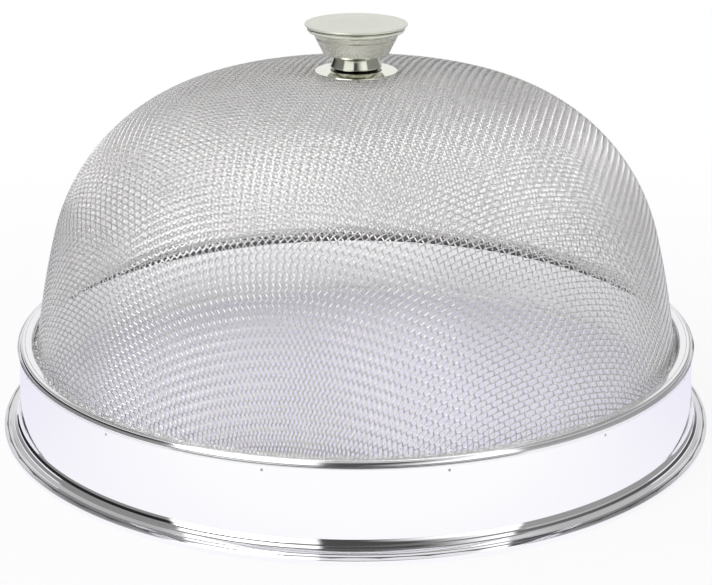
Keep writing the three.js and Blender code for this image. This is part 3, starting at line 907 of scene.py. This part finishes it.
@dataclass
class Sheet:
    """The round white sheet under the dome, which fades into the white beyond it.

    Sizes in metres. Each reach is a pair of distances from the axis, and side_reach a pair of places from front to
    back. A glow of 1 is plain white to the eye, and one of 0 is paper that takes only the light in the room.
    """

    radius: float = 0.8
    thickness: float = 0.002
    steps: int = 96
    sharp_angle: float = 30.0
    colour: int = 0xEFEDF7
    white: int = 0xFFFFFF
    shaded_colour: int = 0xE6E2F6
    side_colour: int = 0xEDEBF7
    near_glow: float = 0.87
    middle_glow: float = 0.84
    shaded_glow: float = 0.3
    mirrored_glow: float = 0.97
    foot_reach: Pair = (0.1475, 0.1495)
    side_reach: Pair = (-0.19, 0.03)
    fading_reach: Pair = (0.15, 0.48)
    shading_reach: Pair = (0.05, 0.14)

    def build(self) -> Object:
        """The sheet, with a painted glow under the dome, brightest in the middle, and plain white further out."""
        wide, deep = self.radius / MM, -self.thickness / MM
        profile = np.array([[0.0, deep], [wide, deep], [wide, 0.0], [0.0, 0.0]])
        floor = add_piece("white_sheet", *turned(profile, self.steps))
        floor.data.set_sharp_from_angle(angle=math.radians(self.sharp_angle))
        material, tree = new_tree("matte_white_paper")
        parts, radius, _ = axis_coordinates(tree)
        ray = add_node(tree, "LightPath").outputs
        camera, glossy = ray["Is Camera Ray"], ray["Is Glossy Ray"]
        white = linear(self.white)
        outside = add_node(tree, "MapRange", [radius, *self.foot_reach])
        beside = add_node(tree, "MapRange", [parts.outputs[1], *self.side_reach])
        mirrored = add_node(tree, "MixRGB", [beside, white, linear(self.side_colour)])
        around = add_node(tree, "MixRGB", [glossy, white, mirrored])
        shaded = add_node(tree, "MixRGB", [glossy, linear(self.shaded_colour), white])
        tint = add_node(tree, "MixRGB", [outside, shaded, around])
        fading = [radius, *self.fading_reach, self.near_glow]
        further = add_node(tree, "MapRange", fading, interpolation_type="SMOOTHSTEP")
        seen = add_node(tree, "MapRange", [glossy, 0.0, 1.0, further, self.mirrored_glow])
        # Painted light: inside the foot the paper glows to the eye, most in the middle and less towards the foot, in
        # the lavender shaded colour.
        inside = add_node(tree, "MapRange", [radius, *self.shading_reach, self.middle_glow, self.shaded_glow])
        glow = add_node(tree, "MapRange", [outside, 0.0, 1.0, inside, seen])
        direct = add_node(tree, "Math", [camera, glossy], operation="MAXIMUM")
        share = add_node(tree, "Math", [glow, direct], operation="MULTIPLY")
        paper = add_node(tree, "BsdfDiffuse", {"Color": linear(self.colour)})
        plain = add_node(tree, "Emission", {"Color": tint, "Strength": 1.0})
        mixed = add_node(tree, "MixShader", [share, paper, plain])
        add_node(tree, "OutputMaterial", [mixed])
        floor.data.materials.append(material)
        return floor


@dataclass
class Room:
    """The room, as each kind of ray sees it.

    It is plain white to the camera and even light to matt surfaces. To polished steel it is a white room with grey
    walls, two bright windows in front, and a dark pillar between them.

    A hub on the far side of the room's sphere is where a level line of sight from the picture's side would leave it.
    Bearings and heights in degrees are measured from there, so that upright edges in the room stay upright in the
    mirror of a round rim. Pairs of them are the two ends of a smooth step, and triples are a band's two edges and
    their softness.
    """

    hub: Triple = (0.0, 0.9, -0.436)
    height_stretch: float = 0.08
    sky_level: float = 1.25
    side_sky_level: float = 0.68
    ground_level: float = 1.0
    backdrop_level: float = 0.88
    ceiling_level: float = 0.15
    shelf_level: float = 0.8
    line_level: float = 0.2
    pillar_level: float = 0.07
    end_level: float = 0.75
    fill_level: float = 0.75
    left_wall_level: float = 0.25
    right_wall_levels: Pair = (0.7, 0.31)
    corner_levels: Pair = (0.015, 0.08)
    middle_bearings: Pair = (-2.0, 2.0)
    window_bearings: Triple = (-31.5, 28.0, 0.7)
    side_sky_bearings: Pair = (28.0, 40.0)
    ceiling_bearings: Pair = (75.0, 55.0)
    end_bearings: Pair = (75.0, 89.0)
    line_heights: Triple = (10.0, 22.9, 1.0)
    wall_heights: Pair = (16.6, 19.0)
    right_wall_heights: Pair = (17.0, 25.0)
    left_corner: Triple = (35.0, 49.0, 4.0)
    right_corner: Triple = (55.5, 61.0, 0.6)
    shelf_heights: Triple = (48.6, 54.6, 0.5)
    sky_heights: Pair = (61.5, 65.0)
    backdrop_heights: Pair = (69.0, 74.0)
    ceiling_heights: Triple = (67.0, 91.5, 2.0)
    pillar_left: Pair = (-6.7, -5.3)
    pillar_right: Pair = (7.0, 19.0)
    pillar_right_heights: Pair = (24.0, 48.0)
    pillar_softness: float = 9.0
    pillar_foot: Pair = (9.0, 11.0)
    pillar_top: Pair = (58.0, 60.0)
    pillar_top_right: float = 5.0

    def build(self) -> None:
        """Makes the world's shader."""
        world = bpy.context.scene.world = bpy.data.worlds.new("studio_room")
        world.use_nodes = True
        self.tree = world.node_tree
        self.tree.nodes.clear()
        ray = add_node(self.tree, "LightPath").outputs
        shown = self.level(ray["Is Camera Ray"], ray["Is Transmission Ray"], 1.0)
        direct = self.level(shown, self.fill_level, 1.0)
        strength = self.level(ray["Is Glossy Ray"], direct, self.mirrored_room())
        background = add_node(self.tree, "Background", {"Color": (1.0, 1.0, 1.0, 1.0), "Strength": strength})
        add_node(self.tree, "OutputWorld", [background])

    def ramp(self, angle: Node, low: float, high: float) -> Node:
        """0 at the low angle and 1 at the high one, in degrees, with a smooth step between."""
        inputs = [angle, math.radians(low), math.radians(high)]
        return add_node(self.tree, "MapRange", inputs, interpolation_type="SMOOTHSTEP")

    def band(self, angle: Node, low: float, high: float, soft: float) -> Node:
        """1 between two angles in degrees, 0 outside, with soft edges."""
        return self.level(self.ramp(angle, low - soft, low + soft), 0.0, self.ramp(angle, high + soft, high - soft))

    def level(self, share: Node, low: object, high: object) -> Node:
        """The low value where the share is 0 and the high one where it is 1."""
        return add_node(self.tree, "MapRange", [share, 0.0, 1.0, low, high])

    def directions(self) -> tuple[Node, Node]:
        """Bearing and height of each direction as seen from the hub.

        With (x, y, z) from the hub to the direction, the bearing is atan2(x, -y), and the height is
        atan2(z, length of (x, y)) times 1 plus the stretch times the bearing squared.
        """
        direction = add_node(self.tree, "TexCoord").outputs["Generated"]
        arm = add_node(self.tree, "VectorMath", [direction, self.hub], operation="SUBTRACT")
        x, y, z = add_node(self.tree, "SeparateXYZ", [arm]).outputs
        flat = add_node(self.tree, "CombineXYZ", [x, y])
        reach = add_node(self.tree, "VectorMath", [flat], operation="LENGTH").outputs["Value"]
        front = add_node(self.tree, "Math", [y, -1.0], operation="MULTIPLY")
        bearing = add_node(self.tree, "Math", [x, front], operation="ARCTAN2")
        squared = add_node(self.tree, "Math", [bearing, bearing], operation="MULTIPLY")
        stretch = add_node(self.tree, "Math", [squared, self.height_stretch, 1.0], operation="MULTIPLY_ADD")
        height = add_node(self.tree, "Math", [z, reach], operation="ARCTAN2")
        return bearing, add_node(self.tree, "Math", [height, stretch], operation="MULTIPLY")

    def mirrored_room(self) -> Node:
        """How bright each direction of the room looks in polished steel."""
        bearing, height = self.directions()
        turned_away = add_node(self.tree, "Math", [bearing], operation="ABSOLUTE")
        right = self.ramp(bearing, *self.middle_bearings)
        right_wall = self.level(self.ramp(height, *self.right_wall_heights), *self.right_wall_levels)
        wall = self.level(right, self.left_wall_level, right_wall)
        wall = self.level(self.ramp(turned_away, *self.end_bearings), wall, self.end_level)
        corner = self.level(right, self.band(height, *self.left_corner), self.band(height, *self.right_corner))
        side = self.level(corner, wall, self.level(right, *self.corner_levels))
        side = self.level(self.ramp(height, *self.wall_heights), self.ground_level, side)
        window = self.level(self.band(height, *self.line_heights), self.sky_level, self.line_level)
        front = self.level(self.band(bearing, *self.window_bearings), side, window)
        front = self.level(self.pillar(bearing, height), front, self.pillar_level)
        shelf = self.level(self.band(height, *self.shelf_heights), 0.0, self.shelf_level)
        front = add_node(self.tree, "Math", [front, shelf], operation="MAXIMUM")
        sky = self.level(self.ramp(turned_away, *self.side_sky_bearings), self.sky_level, self.side_sky_level)
        room = self.level(self.ramp(height, *self.sky_heights), front, sky)
        room = self.level(self.ramp(height, *self.backdrop_heights), room, self.backdrop_level)
        ceiling = self.band(height, *self.ceiling_heights)
        ceiling = self.level(self.ramp(turned_away, *self.ceiling_bearings), 0.0, ceiling)
        return self.level(ceiling, room, self.ceiling_level)

    def pillar(self, bearing: Node, height: Node) -> Node:
        """Draws the dark pillar: a sharp left edge, and a soft right one that runs out higher up to its top.

        Args:
            bearing: The bearing seen from the hub.
            height: The height seen from the hub.

        Returns:
            1 in the pillar and 0 beside it.
        """
        slope = [height, *map(math.radians, self.pillar_right_heights), *map(math.radians, self.pillar_right)]
        edge = add_node(self.tree, "MapRange", slope)
        edge = self.level(self.ramp(height, *self.pillar_top), edge, math.radians(self.pillar_top_right))
        past = add_node(self.tree, "Math", [bearing, edge], operation="SUBTRACT")
        right = self.ramp(past, self.pillar_softness, -self.pillar_softness)
        inside = self.level(self.ramp(bearing, *self.pillar_left), 0.0, right)
        return self.level(self.ramp(height, *self.pillar_foot), 0.0, inside)


@dataclass
class Studio:
    """The sheet, the room round it and the lamp above the picture's side. Watts and metres."""

    lamp_power: float = 6.5
    lamp_size: float = 0.8
    lamp_place: Triple = (-0.72, -0.53, 1.33)

    def lamp(self) -> None:
        """A large soft lamp, high in front and aimed at the foot of the dome."""
        data = bpy.data.lights.new("key_softbox", "AREA")
        data.shape = "DISK"
        data.size = self.lamp_size
        data.energy = self.lamp_power
        lamp = bpy.data.objects.new("key_softbox", data)
        lamp.location = self.lamp_place
        lamp.rotation_euler = (-Vector(self.lamp_place)).to_track_quat("-Z", "Y").to_euler()
        bpy.context.scene.collection.objects.link(lamp)

    def build(self) -> None:
        """The whole studio."""
        Viewpoint().build()
        Sheet().build()
        Room().build()
        self.lamp()
        bpy.context.scene.view_settings.view_transform = "Standard"


def report(piece: Object) -> None:
    """Sets a finished piece on its body and logs its size.

    Args:
        piece: The finished piece.
    """
    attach(piece, BODY)
    triangles = sum(len(face.vertices) - 2 for face in piece.data.polygons)
    log.info("%s: %d triangles", piece.name, triangles)


def main() -> None:
    """Builds the studio and the dome's sub-assemblies in order, and reports each piece."""
    logging.basicConfig(level=logging.INFO, format="%(message)s")
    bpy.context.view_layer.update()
    Studio().build()
    # The ring's strip is painted dark as painted shade under the lip; the hidden foot wire shares it.
    rolled = TurnedSteel("rolled_strip_painted_shade", 0x8C8C8F, 0x68686C, 0.3)
    nugget = TurnedSteel("weld_nugget_steel", 0x8E8E92, 0x77777B, 0.45)
    # The stem is painted dark below the joint: painted shade in the gap above the flange.
    turned_knob = TurnedSteel("turned_stainless_knob", 0xDFE0D4, 0xC9CABC, 0.14, joint_shade_height=149.95)
    polished_flange = TurnedSteel("polished_stainless_flange", 0xFCFDF2, 0xF0F1E6, 0.1)
    satin_disc = TurnedSteel("satin_stainless_disc", 0xF0F2E6, 0xE6E8DA, 0.3)
    fastener = TurnedSteel("plated_fastener_steel", 0xC4C5C0, 0xA6A7A3, 0.3)
    assemblies = [
        Rim(PolishedSheet(), rolled, nugget),
        WovenDome(DomeOutline(), DrawnWire()),
        Knob(turned_knob, polished_flange, satin_disc, fastener),
    ]
    for assembly in assemblies:
        for piece in assembly.build():
            report(piece)


if __name__ == "__main__":
    main()
